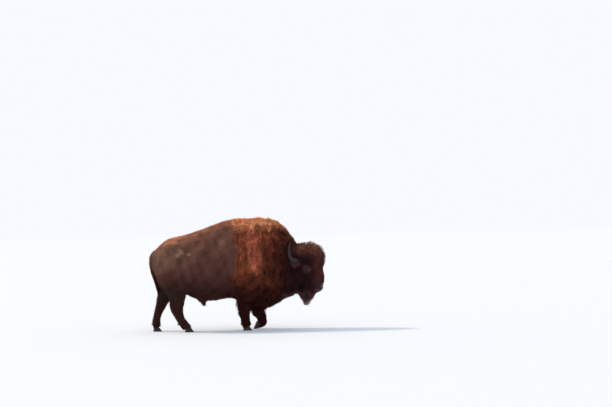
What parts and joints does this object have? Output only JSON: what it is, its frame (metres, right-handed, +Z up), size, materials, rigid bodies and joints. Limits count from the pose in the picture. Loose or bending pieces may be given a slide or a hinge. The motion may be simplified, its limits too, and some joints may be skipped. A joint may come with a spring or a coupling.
{
  "type": "bison",
  "caption": "Life-size American bison bull in winter coat, standing in mid-step with one forefoot tipped, head turned a little to its right.",
  "frame": {"origin": "on the floor, under the middle of the bounding box", "axes": "+X the way the animal faces, +Y its left side, +Z up"},
  "size_m": [2.828, 0.8286, 1.8178],
  "materials": {
    "coat_rust": "long shaggy rust-brown hair",
    "coat_brown": "short smooth dark brown hair",
    "coat_dark": "long woolly near-black hair",
    "horn": "dark grey horn with a soft sheen",
    "hoof": "dull black hoof horn",
    "eye": "wet dark eye"
  },
  "bodies": {
    "root": {"beard": "coat_dark", "dewclaw_fore_left_l": "hoof", "dewclaw_fore_left_r": "hoof", "dewclaw_fore_right_l": "hoof", "dewclaw_fore_right_r": "hoof", "dewclaw_hind_left_l": "hoof", "dewclaw_hind_left_r": "hoof", "dewclaw_hind_right_l": "hoof", "dewclaw_hind_right_r": "hoof", "ear_left": "coat_dark", "ear_right": "coat_dark", "eye_left": "eye", "eye_right": "eye", "foreleg_left": "coat_dark", "foreleg_right": "coat_dark", "head": "coat_dark", "hindleg_left": "coat_brown", "hindleg_right": "coat_brown", "hindquarters": "coat_brown", "hoof_fore_left_l": "hoof", "hoof_fore_left_r": "hoof", "hoof_fore_right_l": "hoof", "hoof_fore_right_r": "hoof", "hoof_hind_left_l": "hoof", "hoof_hind_left_r": "hoof", "hoof_hind_right_l": "hoof", "hoof_hind_right_r": "hoof", "horn_left": "horn", "horn_right": "horn", "hump": "coat_rust", "neck": "coat_rust", "scrotum": "coat_brown", "sheath": "coat_brown", "tail": "coat_brown", "tail_tuft": "coat_brown", "trunk": "coat_brown"}
  },
  "joints": []
}
